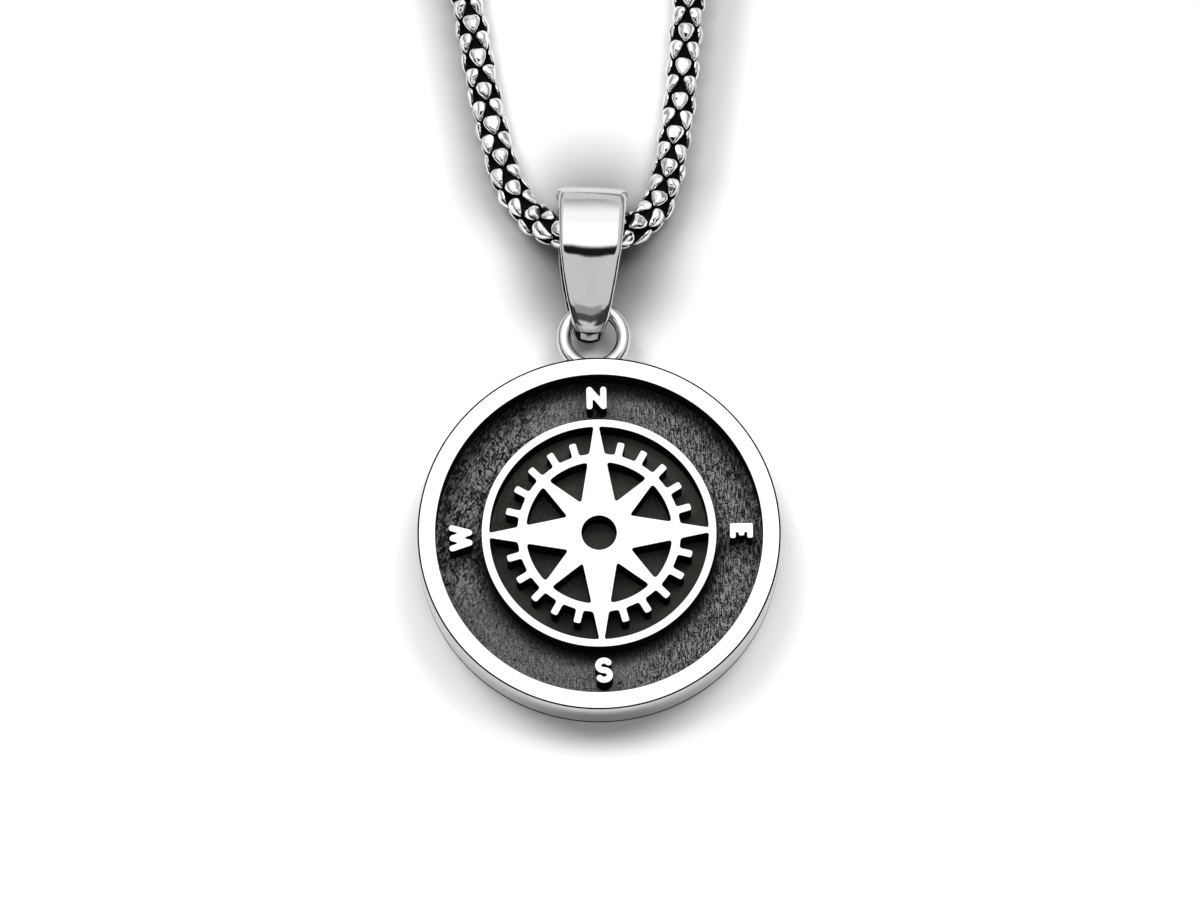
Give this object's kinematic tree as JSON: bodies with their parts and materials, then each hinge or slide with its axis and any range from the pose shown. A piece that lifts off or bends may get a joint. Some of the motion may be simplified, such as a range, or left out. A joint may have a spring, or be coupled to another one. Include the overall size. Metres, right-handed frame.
{
  "type": "compass pendant",
  "caption": "Round compass pendant with a raised star rose, toothed ring and compass letters over a dark sunk field, on a tapered bail and a round nubby chain with a clasp.",
  "frame": {"origin": "middle of the medallion's flat back, on the surface that the pendant lies on", "axes": "+Z out of the medallion's face, +Y from its S to its N and on to the bail and chain, +X towards its E"},
  "size_m": [0.1024, 0.2487, 0.005],
  "materials": {
    "oxidised_silver": "polished rim, rose and letters over a dark oxidised field",
    "polished_silver": "polished",
    "chain_silver": "polished nubs over a dark oxidised core"
  },
  "bodies": {
    "root": {"medallion": "oxidised_silver", "bail": "polished_silver", "chain": "chain_silver", "end_cap_west": "polished_silver", "end_cap_east": "polished_silver", "jump_ring": "polished_silver", "clasp": "polished_silver"}
  },
  "joints": []
}
